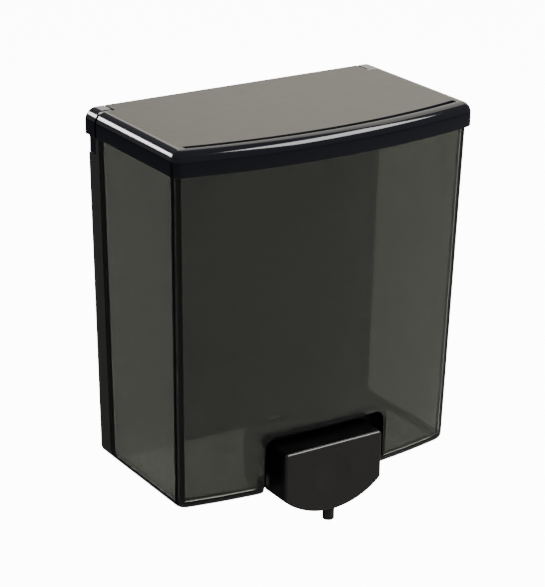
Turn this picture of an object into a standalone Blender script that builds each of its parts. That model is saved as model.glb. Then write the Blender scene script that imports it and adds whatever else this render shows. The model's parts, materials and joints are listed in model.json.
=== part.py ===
"""Wall-mounted soap dispenser: translucent tank, hinged lid and a push valve, in separate pieces.

Metres in the scene, millimetres in the constants. +Z is up, the wall is the plane Y = 0 and the
front faces -Y. The origin is the centre of the face that lies on the wall.
"""

import math

import bmesh
import bpy
from mathutils import Matrix, Vector

MM = 0.001

# Lid
LID_HALF_W = 73.025
LID_APEX = 82.55
FRONT_SAGITTA = 8.8
LID_TOP = 79.0
LID_BOTTOM = 68.25
LID_EDGE_R = 5.0
LID_CORNER_R = 4.5
LID_WALL = 2.2
GROOVE_INSET = 5.6
GROOVE_DEPTH = 0.35
FRONT_R = (LID_HALF_W**2 + FRONT_SAGITTA**2) / (2 * FRONT_SAGITTA)

# Tank
TANK_INSET = 1.36
TANK_HALF_W = LID_HALF_W - TANK_INSET
TANK_FRONT_STEP = 1.2
TANK_APEX = LID_APEX - TANK_INSET - TANK_FRONT_STEP
TANK_TAPER_X = 3.22
TANK_TAPER_Y = 4.2
TANK_SHOULDER = 67.9
TANK_RIM = 74.0
TANK_BOTTOM = -79.3
TANK_BACK = -9.3
TANK_WALL = 2.5
TANK_FLOOR = -76.6
TANK_EDGE_R = 4.0
RIM_STEP = 1.26

# Rear housing and hinge ears
HOUSING_BACK = -0.3
HOUSING_FRONT = -9.0
HOUSING_WALL = 2.2
EAR_INNER = 64.3
EAR_FRONT = -8.5
EAR_GAP = 0.3
HINGE_Y = -5.0
HINGE_Z = 76.3
PIN_R = 1.2
PIN_HOLE_R = 1.28
LUG_R = 2.6

# Recess for the valve
RECESS_HALF_W = 30.3
RECESS_TOP = -52.5
RECESS_BACK = -66.3
POCKET_HALF_W = 27.0
POCKET_TOP = -56.5
POCKET_BACK = -57.0

# Push button and valve
BUTTON_HALF_W = 24.6
BUTTON_TOP = -58.6
BUTTON_BOTTOM = -89.9
BUTTON_SAGITTA = 9.5
BUTTON_FACE = -81.5
BUTTON_REAR = -67.0
BUTTON_WALL = 1.8
VALVE_Z = -69.0
SPRING_SEAT = -75.6
SPOUT_Y = -78.3
SPOUT_TIP = -95.6
SPOUT_R = 2.6
SPOUT_TOP = -90.3


def clear_scene():
    for obj in list(bpy.data.objects):
        bpy.data.objects.remove(obj, do_unlink=True)


def material(name, colour, roughness, metallic=0.0, transmission=0.0):
    mat = bpy.data.materials.new(name)
    mat.use_nodes = True
    shader = mat.node_tree.nodes["Principled BSDF"]
    shader.inputs["Base Color"].default_value = (*colour, 1.0)
    shader.inputs["Roughness"].default_value = roughness
    shader.inputs["Metallic"].default_value = metallic
    shader.inputs["Transmission Weight"].default_value = transmission
    mat.diffuse_color = (*colour, 1.0)
    return mat


def finish(name, bm, mat, smooth=False, origin=(0.0, 0.0, 0.0)):
    """Makes one object from a mesh in millimetres, with its origin at the given point."""
    centre = Vector(origin)
    bmesh.ops.transform(bm, matrix=Matrix.Scale(MM, 4) @ Matrix.Translation(-centre), verts=bm.verts)
    bmesh.ops.recalc_face_normals(bm, faces=bm.faces)
    mesh = bpy.data.meshes.new(name)
    bm.to_mesh(mesh)
    bm.free()
    if smooth:
        for polygon in mesh.polygons:
            polygon.use_smooth = True
    obj = bpy.data.objects.new(name, mesh)
    obj.location = centre * MM
    bpy.context.scene.collection.objects.link(obj)
    if mat:
        mesh.materials.append(mat)
    return obj


def helper(name, bm):
    """A cutter or an added block: used by a Boolean, never shown."""
    obj = finish(name, bm, None)
    obj.hide_render = True
    obj.display_type = "WIRE"
    return obj


def boolean(obj, other, operation):
    modifier = obj.modifiers.new(other.name, "BOOLEAN")
    modifier.operation = operation
    modifier.solver = "EXACT"
    modifier.object = other


def loft(rings):
    """A closed body through rings of equal length, capped at both ends."""
    bm = bmesh.new()
    rows = [[bm.verts.new(point) for point in ring] for ring in rings]
    count = len(rows[0])
    for lower, upper in zip(rows, rows[1:]):
        for i in range(count):
            j = (i + 1) % count
            bm.faces.new((lower[i], lower[j], upper[j], upper[i]))
    bm.faces.new(list(reversed(rows[0])))
    bm.faces.new(rows[-1])
    return bm


def prism(points, axis, low, high):
    """Extrudes an outline along X or Y. Points are (y, z) for X and (x, z) for Y."""
    if axis == "X":
        rings = [[(level, a, b) for a, b in points] for level in (low, high)]
    else:
        rings = [[(a, level, b) for a, b in points] for level in (low, high)]
    return loft(rings)


def box(x, y, z):
    corners = [(x[0], z[0]), (x[1], z[0]), (x[1], z[1]), (x[0], z[1])]
    return prism(corners, "Y", y[0], y[1])


def arc(centre, radius, start, end, steps):
    """Points on a circle in a plane, from one angle in degrees to another."""
    points = []
    for i in range(steps + 1):
        angle = math.radians(start + (end - start) * i / steps)
        points.append((centre[0] + radius * math.cos(angle), centre[1] + radius * math.sin(angle)))
    return points


def turned(profile, x, z, steps=24):
    """Turns a closed outline of (y, radius) points about the line along Y through x, z."""
    bm = bmesh.new()
    tips = {k: bm.verts.new((x, y, z)) for k, (y, r) in enumerate(profile) if r == 0}
    rows = []
    for i in range(steps):
        angle = 2 * math.pi * i / steps
        row = []
        for k, (y, r) in enumerate(profile):
            point = (x + r * math.cos(angle), y, z + r * math.sin(angle))
            row.append(tips.get(k) or bm.verts.new(point))
        rows.append(row)
    join(bm, rows, len(profile))
    return bm


def join(bm, rows, count):
    """Joins each row to the next and the last to the first, leaving out what has no area."""
    for row, other in zip(rows, rows[1:] + rows[:1]):
        for k in range(count):
            n = (k + 1) % count
            corners = list(dict.fromkeys((row[k], row[n], other[n], other[k])))
            if len(corners) > 2:
                bm.faces.new(corners)


def rod(centre, axis, low, high, radius, steps=24):
    """A plain cylinder along X, Y or Z; centre is the pair of the other two coordinates."""
    ring = arc(centre, radius, 0, 360, steps)[:-1]
    if axis == "X":
        return loft([[(level, a, b) for a, b in ring] for level in (low, high)])
    if axis == "Y":
        return loft([[(a, level, b) for a, b in ring] for level in (low, high)])
    return loft([[(a, b, level) for a, b in ring] for level in (low, high)])


def plan(half_w, apex, radius, corner, back, z, steps=14, corner_steps=4):
    """The plan outline: a straight back, straight sides and a bowed front with round corners."""
    middle = radius - apex
    centre_x = half_w - corner
    centre_y = middle - math.sqrt((radius - corner) ** 2 - centre_x**2)
    lean = math.degrees(math.atan2(centre_y - middle, centre_x))
    right = arc((centre_x, centre_y), corner, 0, lean, corner_steps)
    front = arc((0.0, middle), radius, lean, -180 - lean, steps)[1:-1]
    left = [(-x, y) for x, y in reversed(right)]
    outline = [(half_w, back)] + right + front + left + [(-half_w, back)]
    return [(x, y, z) for x, y in outline]


def tank_ring(z, inset, back, corner=3.6):
    """The tank's outline at a height, moved in by an inset; the walls taper downwards."""
    taper = min(max((LID_BOTTOM - z) / (LID_BOTTOM - TANK_BOTTOM), 0.0), 1.0)
    half_w = TANK_HALF_W - TANK_TAPER_X * taper - inset
    apex = TANK_APEX - TANK_TAPER_Y * taper - inset
    return plan(half_w, apex, FRONT_R - TANK_INSET - inset, corner, back, z)


def container(mat):
    rings = []
    for i in range(6):
        angle = math.radians(90 * i / 5)
        inset = TANK_EDGE_R * (1 - math.sin(angle))
        z = TANK_BOTTOM + TANK_EDGE_R * (1 - math.cos(angle))
        rings.append(tank_ring(z, inset, TANK_BACK))
    rings.append(tank_ring(TANK_SHOULDER, 0.0, TANK_BACK))
    rings.append(tank_ring(TANK_SHOULDER, RIM_STEP, TANK_BACK - 0.4))
    rings.append(tank_ring(TANK_RIM, RIM_STEP, TANK_BACK - 0.4))
    inner_back = TANK_BACK - TANK_WALL
    rings.append(tank_ring(TANK_RIM, TANK_WALL, inner_back, 1.6))
    floor_r = 2.5
    for i in range(4):
        angle = math.radians(90 * i / 3)
        inset = floor_r * (1 - math.cos(angle))
        z = TANK_FLOOR + floor_r * (1 - math.sin(angle))
        rings.append(tank_ring(z, TANK_WALL + inset, inner_back - inset, 1.6))
    tank = finish("container", loft(rings), mat)

    recess = (RECESS_HALF_W, RECESS_TOP, RECESS_BACK, 5.0)
    pocket = (POCKET_HALF_W, POCKET_TOP, POCKET_BACK, 3.0)
    boolean(tank, helper("recess_wall", recess_block(*recess, 2.5)), "UNION")
    boolean(tank, helper("pocket_wall", recess_block(*pocket, 2.2)), "UNION")
    boolean(tank, helper("recess_cut", recess_cut(*recess)), "DIFFERENCE")
    boolean(tank, helper("pocket_cut", recess_cut(*pocket)), "DIFFERENCE")
    hole = rod((0.0, VALVE_Z), "Y", POCKET_BACK - 1.0, POCKET_BACK + 4.0, 5.2)
    boolean(tank, helper("valve_hole", hole), "DIFFERENCE")
    return tank


def recess_block(half_w, top, back, corner, wall):
    """The solid that the recess walls are left from, just inside the tank's front."""
    rings = []
    levels = [(-77.8, 0.0), (top + wall - (corner + wall), 0.0)]
    for i in range(1, 6):
        angle = math.radians(18 * i)
        r = corner + wall
        levels.append((top + wall - r + r * math.sin(angle), r * (1 - math.cos(angle)) * 0.98))
    for z, narrow in levels:
        taper = (LID_BOTTOM - z) / (LID_BOTTOM - TANK_BOTTOM)
        radius = FRONT_R - TANK_INSET - 1.3
        apex = TANK_APEX - TANK_TAPER_Y * taper - 1.3
        half = half_w + wall - narrow
        ring = [(half, back + wall, z)]
        for i in range(9):
            x = half * (1 - i / 4)
            ring.append((x, radius - apex - math.sqrt(radius**2 - x**2), z))
        ring.append((-half, back + wall, z))
        rings.append(ring)
    return loft(rings)


def recess_cut(half_w, top, back, corner):
    flare = 2.4
    right = arc((half_w - corner, top - corner), corner, 90, 0, 5)
    right += arc((half_w + flare, TANK_BOTTOM + flare), flare, 180, 270, 3)
    right += [(half_w + flare, TANK_BOTTOM - 8.0)]
    outline = right + [(-x, z) for x, z in reversed(right)]
    return prism(outline, "Y", back, -95.0)


def ear_profile(gap):
    """The ear's side view in Y and Z. Its front top is round about the hinge axis."""
    radius = HINGE_Y - EAR_FRONT + gap
    rise = LID_TOP + 1.0 - HINGE_Z
    top = math.degrees(math.asin(min(rise / radius, 1.0)))
    front = arc((HINGE_Y, HINGE_Z), radius, 180, 180 - top, 7)
    return front


def lid(mat):
    rings = [lid_ring(LID_BOTTOM, 0.6), lid_ring(LID_BOTTOM + 0.5, 0.0)]
    for i in range(8):
        angle = math.radians(90 * i / 7)
        rings.append(
            lid_ring(LID_TOP - LID_EDGE_R * (1 - math.sin(angle)), LID_EDGE_R * (1 - math.cos(angle)))
        )
    body = finish("lid", loft(rings), mat, origin=(0.0, HINGE_Y, HINGE_Z))

    inner = []
    roof = LID_TOP - LID_WALL
    for z, inset in ((60.0, 0.0), (roof - 3.0, 0.0), (roof - 1.0, 0.8), (roof, 3.0)):
        ring = lid_ring(z, LID_WALL + inset)
        inner.append([(x, 5.0 if y > -1.0 else y, z) for x, y, z in ring])
    boolean(body, helper("lid_hollow", loft(inner)), "DIFFERENCE")
    for side in (-1, 1):
        lug = rod((HINGE_Y, HINGE_Z), "X", side * 60.3, side * 64.6, LUG_R)
        boolean(body, helper(f"lug_{side}", lug), "UNION")
    for side in (-1, 1):
        front = ear_profile(EAR_GAP)
        outline = front + [(5.0, LID_TOP + 1.0), (5.0, 60.0), (EAR_FRONT - EAR_GAP, 60.0)]
        ear = prism(outline, "X", side * (EAR_INNER - 0.3), side * 80.0)
        boolean(body, helper(f"ear_space_{side}", ear), "DIFFERENCE")
        hole = rod((HINGE_Y, HINGE_Z), "X", side * 59.0, side * 66.0, PIN_HOLE_R, 16)
        boolean(body, helper(f"lug_hole_{side}", hole), "DIFFERENCE")
    boolean(body, helper("front_groove", front_groove()), "DIFFERENCE")
    return body


def front_groove():
    """A fine step along the front of the lid's flat panel."""
    rings = []
    for i in range(19):
        x = 66.0 * (i / 9 - 1)
        ring = []
        for inset, z in ((-0.3, 0.4), (0.0, -GROOVE_DEPTH), (0.5, 0.4)):
            reach = FRONT_R - GROOVE_INSET - inset
            ring.append((x, FRONT_R - LID_APEX - math.sqrt(reach**2 - x**2), LID_TOP + z))
        rings.append(ring)
    return loft(rings)


def lid_ring(z, inset):
    corner = max(LID_CORNER_R - inset, 1.4)
    return plan(LID_HALF_W - inset, LID_APEX - inset, FRONT_R - inset, corner, -0.3, z)


def hinge_ear(side, mat):
    name = "left" if side < 0 else "right"
    front = ear_profile(0.0)
    outline = front + [(HOUSING_BACK, LID_TOP + 1.0), (HOUSING_BACK, LID_BOTTOM), (EAR_FRONT, LID_BOTTOM)]
    ear = finish(f"hinge_ear_{name}", prism(outline, "X", side * EAR_INNER, side * 76.0), mat)
    section = [(EAR_INNER - 3.0, 60.0), (LID_HALF_W, 60.0)]
    section += arc((LID_HALF_W - LID_EDGE_R, LID_TOP - LID_EDGE_R), LID_EDGE_R, 0, 90, 7)
    section += [(EAR_INNER - 3.0, LID_TOP)]
    section = [(side * x, z) for x, z in section]
    boolean(ear, helper(f"ear_section_{name}", prism(section, "Y", -20.0, 5.0)), "INTERSECT")
    leg = box(sorted((side * 65.0, side * 71.2)), (-6.4, HOUSING_BACK - 0.3), (60.3, 69.5))
    boolean(ear, helper(f"ear_leg_{name}", leg), "UNION")
    hole = rod((HINGE_Y, HINGE_Z), "X", side * 60.0, side * 70.8, PIN_HOLE_R, 16)
    boolean(ear, helper(f"ear_hole_{name}", hole), "DIFFERENCE")
    profile = [(2.0, 0), (2.0, 2.4), (-2.5, 2.4), (-2.5, 1.5), (-8.0, 1.5), (-8.0, 0)]
    screw = turned(profile, side * 68.0, 64.3, 16)
    boolean(ear, helper(f"ear_screw_hole_{name}", screw), "DIFFERENCE")
    return ear


def hinge_pin(side, mat):
    name = "left" if side < 0 else "right"
    pin = rod((HINGE_Y, HINGE_Z), "X", side * 60.6, side * 70.5, PIN_R, 16)
    return finish(f"hinge_pin_{name}", pin, mat, smooth=False, origin=(side * 65.0, HINGE_Y, HINGE_Z))


def ear_screw(side, mat):
    """A pan screw: a head with a round edge, and a shank into the housing."""
    name = "left" if side < 0 else "right"
    outline = [(-0.6, 0), (-0.6, 1.5), (-1.0, 2.1), (-2.2, 2.1), (-2.2, 1.25)]
    outline += [(-8.0, 1.25), (-8.6, 0.9), (-8.6, 0)]
    screw = finish(f"ear_screw_{name}", turned(outline, side * 68.0, 64.3, 16), mat)
    for k, (half_a, half_b) in enumerate(((1.2, 0.25), (0.25, 1.2))):
        x = (side * 68.0 - half_a, side * 68.0 + half_a)
        slot = box(x, (-1.3, 0.5), (64.3 - half_b, 64.3 + half_b))
        boolean(screw, helper(f"drive_{name}_{k}", slot), "DIFFERENCE")
    return screw


def housing_half_w(z):
    return TANK_HALF_W - TANK_TAPER_X * (LID_BOTTOM - z) / (LID_BOTTOM - TANK_BOTTOM)


def rear_housing(mat):
    bottom = -79.1
    corner = 4.0
    half = housing_half_w(bottom)
    right = [(63.9, 73.0), (63.9, TANK_SHOULDER), (housing_half_w(TANK_SHOULDER), TANK_SHOULDER)]
    right += arc((half - corner + 0.08, bottom + corner), corner, 0, -90, 5)
    outline = right + [(-x, z) for x, z in reversed(right)]
    housing = finish("rear_housing", prism(outline, "Y", HOUSING_FRONT, HOUSING_BACK), mat)

    top = 63.6
    inner = [(housing_half_w(top) - HOUSING_WALL, top)]
    inner += arc((half - corner + 0.08, bottom + corner), corner - HOUSING_WALL, 0, -90, 4)
    pocket = inner + [(-x, z) for x, z in reversed(inner)]
    hollow = prism(pocket, "Y", HOUSING_FRONT + HOUSING_WALL, 3.0)
    boolean(housing, helper("housing_pocket", hollow), "DIFFERENCE")
    above = box((-80.0, 80.0), (-6.7, 3.0), (65.8, 90.0))
    boolean(housing, helper("lid_swing_space", above), "DIFFERENCE")
    for side in (-1, 1):
        leg = box(sorted((side * 64.6, side * 80.0)), (-6.7, 3.0), (60.0, 90.0))
        boolean(housing, helper(f"leg_space_{side}", leg), "DIFFERENCE")
        wall = box(sorted((side * 62.4, side * 64.6)), (-7.5, HOUSING_BACK), (57.8, 65.8))
        boolean(housing, helper(f"leg_wall_{side}", wall), "UNION")
        shelf = box(sorted((side * 62.4, side * 69.6)), (-7.5, HOUSING_BACK), (57.8, 60.0))
        boolean(housing, helper(f"leg_shelf_{side}", shelf), "UNION")
        screw = rod((side * 68.0, 64.3), "Y", -8.75, 0.0, 1.33, 16)
        boolean(housing, helper(f"ear_screw_bore_{side}", screw), "DIFFERENCE")
        arm = box(sorted((side * 20.0, side * 32.0)), (-7.5, -2.0), (29.0, 31.4))
        boolean(housing, helper(f"hook_arm_{side}", arm), "UNION")
        lip = box(sorted((side * 20.0, side * 32.0)), (-3.4, -2.0), (22.4, 30.0))
        boolean(housing, helper(f"hook_lip_{side}", lip), "UNION")
    for x in (-24.0, 0.0, 24.0):
        rib = box((x - 0.9, x + 0.9), (-7.5, -2.4), (-78.0, -44.0))
        boolean(housing, helper(f"rib_{x:+.0f}", rib), "UNION")
    return housing


def wall_plate(mat):
    """A steel plate for the wall, with four screw holes and two upward hooks."""
    plate = finish("wall_plate", box((-44.0, 44.0), (-1.5, 0.0), (-38.0, 42.0)), mat)
    for side in (-1, 1):
        shelf = box(sorted((side * 18.5, side * 33.5)), (-5.2, -0.4), (20.2, 22.0))
        boolean(plate, helper(f"plate_shelf_{side}", shelf), "UNION")
        lip = box(sorted((side * 18.5, side * 33.5)), (-5.2, -3.9), (20.2, 27.8))
        boolean(plate, helper(f"plate_lip_{side}", lip), "UNION")
        for z in (-28.0, 34.0):
            hole = rod((side * 37.0, z), "Y", -3.0, 2.0, 2.4, 20)
            boolean(plate, helper(f"plate_hole_{side}_{z:+.0f}", hole), "DIFFERENCE")
    return plate


def catch(steel, plastic):
    """The tongue under the lid's front, and the steel strip on the tank's front rim."""
    front = -73.4
    tongue = finish("lid_tongue", box((-8.0, 8.0), (front, front + 2.0), (69.2, 76.5)), plastic)
    foot = box((-8.0, 8.0), (front, -65.0), (74.9, 76.5))
    boolean(tongue, helper("tongue_foot", foot), "UNION")
    bump = rod((front + 0.2, 70.4), "X", -8.0, 8.0, 0.6, 12)
    boolean(tongue, helper("tongue_bump", bump), "UNION")
    rear, bent = front - 3.8, front - 1.8
    points = [(rear, 69.0), (rear, 74.6), (rear + 0.7, 74.6), (rear + 0.7, 73.6), (bent, 72.4)]
    points += [(bent, 71.4), (rear + 0.7, 70.2), (rear + 0.7, 69.0)]
    strip = finish("catch_strip", prism(points, "X", -6.0, 6.0), steel)
    return tongue, strip


def valve_housing(mat):
    """The black liner: a flange on the recess's back and a deeper pocket for the button."""
    right = arc((RECESS_HALF_W - 0.4 - 4.6, RECESS_TOP - 0.4 - 4.6), 4.6, 90, 0, 5)
    right += [(RECESS_HALF_W - 0.4, -79.0)]
    outline = right + [(-x, z) for x, z in reversed(right)]
    liner = finish("valve_housing", prism(outline, "Y", RECESS_BACK - 1.6, RECESS_BACK - 0.3), mat)
    half = POCKET_HALF_W - 0.3
    right = arc((half - 2.7, POCKET_TOP - 3.0), 2.7, 90, 0, 4) + [(half, -79.0)]
    outline = right + [(-x, z) for x, z in reversed(right)]
    outer = prism(outline, "Y", RECESS_BACK - 1.0, POCKET_BACK - 0.3)
    boolean(liner, helper("liner_outer", outer), "UNION")
    half -= 1.4
    right = arc((half - 1.3, POCKET_TOP - 3.0), 1.3, 90, 0, 4) + [(half, -84.0)]
    outline = right + [(-x, z) for x, z in reversed(right)]
    boolean(liner, helper("liner_inner", prism(outline, "Y", -90.0, -58.7)), "DIFFERENCE")
    hole = rod((0.0, VALVE_Z), "Y", -62.0, -50.0, 5.2)
    boolean(liner, helper("liner_hole", hole), "DIFFERENCE")
    return liner


def valve_parts(plastic, rubber):
    """The cylinder through the recess wall, its gasket and nut, and the inlet cage."""
    profile = [(-60.4, 7.6), (-59.0, 7.6), (-59.0, 5.0), (-33.5, 5.0), (-32.5, 4.2), (-32.5, 1.3)]
    profile += [(-34.2, 1.3), (-36.0, 3.6), (-60.4, 3.6)]
    finish("valve_cylinder", turned(profile, 0.0, VALVE_Z, 28), plastic)
    ring = [(-54.5, 5.3), (-54.5, 7.2), (-52.7, 7.2), (-52.7, 5.3)]
    finish("valve_gasket", turned(ring, 0.0, VALVE_Z), rubber)
    outline = arc((0.0, VALVE_Z), 7.0 / math.cos(math.pi / 6), 0, 360, 6)[:-1]
    nut = finish("valve_nut", prism(outline, "Y", -52.4, -46.4), plastic)
    boolean(nut, helper("nut_hole", rod((0.0, VALVE_Z), "Y", -54.0, -44.0, 5.2)), "DIFFERENCE")
    cage = [(-42.0, 1.6), (-42.0, 3.5), (-40.7, 3.5), (-40.7, 1.5)]
    finish("inlet_cage", turned(cage, 0.0, VALVE_Z, 28), plastic)


def inlet_ball(mat):
    bm = bmesh.new()
    bmesh.ops.create_uvsphere(bm, u_segments=20, v_segments=12, radius=2.0)
    bmesh.ops.translate(bm, verts=bm.verts, vec=(0.0, -36.0, VALVE_Z))
    return finish("inlet_ball", bm, mat, smooth=True, origin=(0.0, -36.0, VALVE_Z))


def piston_parts(plastic, rubber):
    origin = (0.0, BUTTON_FACE, VALVE_Z)
    profile = [(-50.0, 0.8), (-50.0, 3.35), (-50.9, 3.35), (-50.9, 2.5), (-53.1, 2.5), (-53.1, 3.35)]
    profile += [(-54.2, 3.35), (-54.2, 1.9), (-76.4, 1.9), (-76.4, 0.8)]
    finish("piston", turned(profile, 0.0, VALVE_Z), plastic, origin=origin)
    seal = [(-51.2, 2.65), (-51.2, 3.5), (-52.0, 3.25), (-52.8, 3.5), (-52.8, 2.65)]
    finish("piston_seal", turned(seal, 0.0, VALVE_Z), rubber, origin=origin)


def spring(mat):
    """The return spring between the valve cylinder's flange and the button."""
    turns, steps, wire, radius = 5.5, 14, 0.45, 5.0
    low, high = -60.4 - 0.3 - wire, SPRING_SEAT + 0.3 + wire
    count = int(turns * steps)
    rings = []
    for i in range(count + 1):
        part = i / count
        angle = 2 * math.pi * turns * part
        level = min(max((part - 0.09) / 0.82, 0.0), 1.0)
        y = low + (high - low) * level
        across = Vector((math.cos(angle), 0.0, math.sin(angle)))
        centre = Vector((0.0, y, VALVE_Z)) + across * radius
        ring = []
        for k in range(6):
            turn = 2 * math.pi * k / 6
            ring.append(centre + across * (wire * math.cos(turn)) + Vector((0.0, wire * math.sin(turn), 0.0)))
        rings.append(ring)
    return finish("return_spring", loft(rings), mat, smooth=True)


def button_ring(y, inset):
    """The button's front outline: straight top and sides, and a bowed bottom."""
    radius = (BUTTON_HALF_W**2 + BUTTON_SAGITTA**2) / (2 * BUTTON_SAGITTA)
    middle = BUTTON_BOTTOM + radius
    half = BUTTON_HALF_W - inset
    corner = max(1.4 - inset, 0.3)
    points = arc((half - corner, BUTTON_TOP - inset - corner), corner, 90, 0, 3)
    reach = radius - inset
    edge = math.degrees(math.asin(half / reach))
    points += arc((0.0, middle), reach, -90 + edge, -90 - edge, 16)
    points += [(-x, z) for x, z in reversed(points[:4])]
    return [(x, y, z) for x, z in points]


def push_button(mat):
    rings = [button_ring(BUTTON_REAR, 0.0)]
    for i in range(4):
        angle = math.radians(30 * i)
        rings.append(button_ring(BUTTON_FACE + 1.2 * (1 - math.sin(angle)), 1.2 * (1 - math.cos(angle))))
    outer = loft(rings)
    button = finish("push_button", outer, mat, origin=(0.0, BUTTON_FACE, VALVE_Z))
    inner = loft([button_ring(BUTTON_REAR + 3.0, BUTTON_WALL), button_ring(BUTTON_FACE + 2.2, BUTTON_WALL)])
    boolean(button, helper("button_hollow", inner), "DIFFERENCE")
    channel = box((-3.2, 3.2), (BUTTON_FACE + 1.3, -75.9), (-87.6, VALVE_Z + 0.2))
    boolean(button, helper("channel_wall", channel), "UNION")
    seat = rod((0.0, VALVE_Z), "Y", BUTTON_FACE + 1.6, SPRING_SEAT, 5.8)
    boolean(button, helper("spring_seat", seat), "UNION")
    boss = rod((0.0, VALVE_Z), "Y", BUTTON_FACE + 1.9, -73.5, 3.6)
    boolean(button, helper("rod_boss", boss), "UNION")
    socket = rod((0.0, VALVE_Z), "Y", -79.4, -70.0, 2.0)
    boolean(button, helper("rod_socket", socket), "DIFFERENCE")
    way = rod((0.0, SPOUT_Y), "Z", -95.0, VALVE_Z, 1.5, 16)
    boolean(button, helper("outlet_way", way), "DIFFERENCE")
    depth, reach = 0.45, 9.5
    ball_r = (reach**2 + depth**2) / (2 * depth)
    profile = [(-84.0, 0), (-84.0, reach + 1.0)]
    for i in range(5):
        r = (reach + 1.0) * (1 - i / 4)
        y = BUTTON_FACE + depth - (ball_r - math.sqrt(ball_r**2 - r**2))
        profile.append((y, r))
    dish = turned(profile, 0.0, -73.5, 28)
    boolean(button, helper("face_dish", dish), "DIFFERENCE")
    return button


def spout(plastic, rubber):
    steps = 20
    levels = [(SPOUT_TIP, 1.75), (SPOUT_TIP, SPOUT_R - 0.5), (SPOUT_TIP + 0.5, SPOUT_R), (SPOUT_TOP, SPOUT_R)]
    levels += [(SPOUT_TOP, 1.35), (-84.0, 1.35), (-84.0, 0.8), (-91.8, 0.8), (-91.8, 1.75)]
    origin = (0.0, SPOUT_Y, SPOUT_TOP)
    finish("spout", upright(levels, steps), plastic, origin=origin)
    bill = [(-95.2, 0.4), (-95.2, 0.75), (-93.6, 1.45), (-92.1, 1.45), (-92.1, 0.8), (-93.4, 0.8)]
    finish("spout_duckbill", upright(bill, steps), rubber, origin=origin)


def upright(profile, steps):
    """Turns a closed outline of (z, radius) points about the spout's axis."""
    bm = bmesh.new()
    rows = []
    for i in range(steps):
        angle = 2 * math.pi * i / steps
        rows.append(
            [bm.verts.new((r * math.cos(angle), SPOUT_Y + r * math.sin(angle), z)) for z, r in profile]
        )
    join(bm, rows, len(profile))
    return bm


clear_scene()
smoke = material("smoke_plastic", (0.05, 0.05, 0.045), 0.12, transmission=0.6)
gloss = material("gloss_black", (0.012, 0.013, 0.017), 0.12)
satin = material("satin_black", (0.035, 0.034, 0.032), 0.38)
zinc = material("plate_steel", (0.55, 0.56, 0.58), 0.35, 1.0)
steel = material("pin_steel", (0.62, 0.62, 0.62), 0.25, 1.0)
spring_steel = material("spring_steel", (0.6, 0.6, 0.62), 0.28, 1.0)
white = material("valve_plastic", (0.75, 0.74, 0.7), 0.4)
rubber = material("seal_rubber", (0.03, 0.03, 0.03), 0.8)

wall_plate(zinc)
rear_housing(satin)
container(smoke)
lid(gloss)
for side in (-1, 1):
    hinge_ear(side, gloss)
    hinge_pin(side, steel)
    ear_screw(side, steel)
catch(spring_steel, satin)
valve_housing(satin)
valve_parts(white, rubber)
inlet_ball(steel)
piston_parts(white, rubber)
spring(spring_steel)
push_button(gloss)
spout(gloss, rubber)
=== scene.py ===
# %% [markdown]
# # A wall-mounted soap dispenser
# A smoke-tinted tank hangs on a wall plate under a black hinged lid, and a button under the tank
# works a small pump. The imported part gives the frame: its bodies, joints and hidden mechanism.
# Each step below builds one visible piece over that frame, in millimetres, and says what it made.

# %% Load the frame
import math
import json

import bmesh
import bpy
from mathutils import Matrix, Vector


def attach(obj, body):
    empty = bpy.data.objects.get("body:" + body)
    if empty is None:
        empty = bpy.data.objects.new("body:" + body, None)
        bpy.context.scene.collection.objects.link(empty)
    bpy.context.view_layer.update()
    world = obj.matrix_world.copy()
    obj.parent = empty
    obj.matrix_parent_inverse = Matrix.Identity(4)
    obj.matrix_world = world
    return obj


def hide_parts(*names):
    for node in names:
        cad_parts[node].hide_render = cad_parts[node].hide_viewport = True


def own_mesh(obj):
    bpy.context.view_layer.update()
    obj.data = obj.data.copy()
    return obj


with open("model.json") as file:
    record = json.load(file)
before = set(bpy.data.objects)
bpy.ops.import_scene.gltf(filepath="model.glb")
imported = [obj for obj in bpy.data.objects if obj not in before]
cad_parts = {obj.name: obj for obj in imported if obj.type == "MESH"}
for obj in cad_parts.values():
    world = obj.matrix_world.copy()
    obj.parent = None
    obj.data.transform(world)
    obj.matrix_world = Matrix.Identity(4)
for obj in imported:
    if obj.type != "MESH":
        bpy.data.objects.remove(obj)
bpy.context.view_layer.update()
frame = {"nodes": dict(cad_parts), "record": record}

# %% [markdown]
# X runs along the wall, Y out of the wall is negative, and Z is up. The driving sizes match the
# solid model: the lid, the tank inside its outline, and the push valve. Everything that touches
# reads the same value, so a change here moves both sides of a joint.

# %% Sizes in millimetres
MM = 0.001
LID_HALF_W, LID_APEX, LID_TOP, LID_BOTTOM = 73.025, 82.55, 79.0, 68.25
LID_EDGE_R, LID_WALL, LID_BACK = 5.0, 2.2, -0.3
SAGITTA = 8.8
BOW_R = (LID_HALF_W**2 + SAGITTA**2) / (2 * SAGITTA)
HINGE_Y, HINGE_Z, PIN_HOLE_R = -5.0, 76.3, 1.28
EAR_R, EAR_INNER_X = 3.5, 64.3
SCREW_X, SCREW_Z = 68.0, 64.3
TANK_BACK, TANK_WALL, TANK_BOTTOM, TANK_FLOOR = -9.3, 2.5, -79.3, -76.6
TANK_INSET, TANK_NARROWS, TANK_RECEDES = 1.36, 3.22, 4.2
TANK_FILLET, SHOULDER_Z, RIM_Z, RIM_STEP = 4.0, 67.9, 74.0, 1.26
RECESS = dict(half_w=30.3, top=-52.5, back=-66.3, corner=5.0)
POCKET = dict(half_w=27.0, top=-56.5, back=-57.0, corner=3.0)
VALVE_Z, VALVE_HOLE_R = -69.0, 5.2
TANK_APEX = LID_APEX - 2.56
BUTTON_TOP, BUTTON_BOTTOM, BUTTON_FACE = -58.6, -89.9, -82.2
SPOUT_Y, SPOUT_R, SPOUT_TOP, SPOUT_TIP = -78.3, 2.6, -90.3, -95.6

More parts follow.
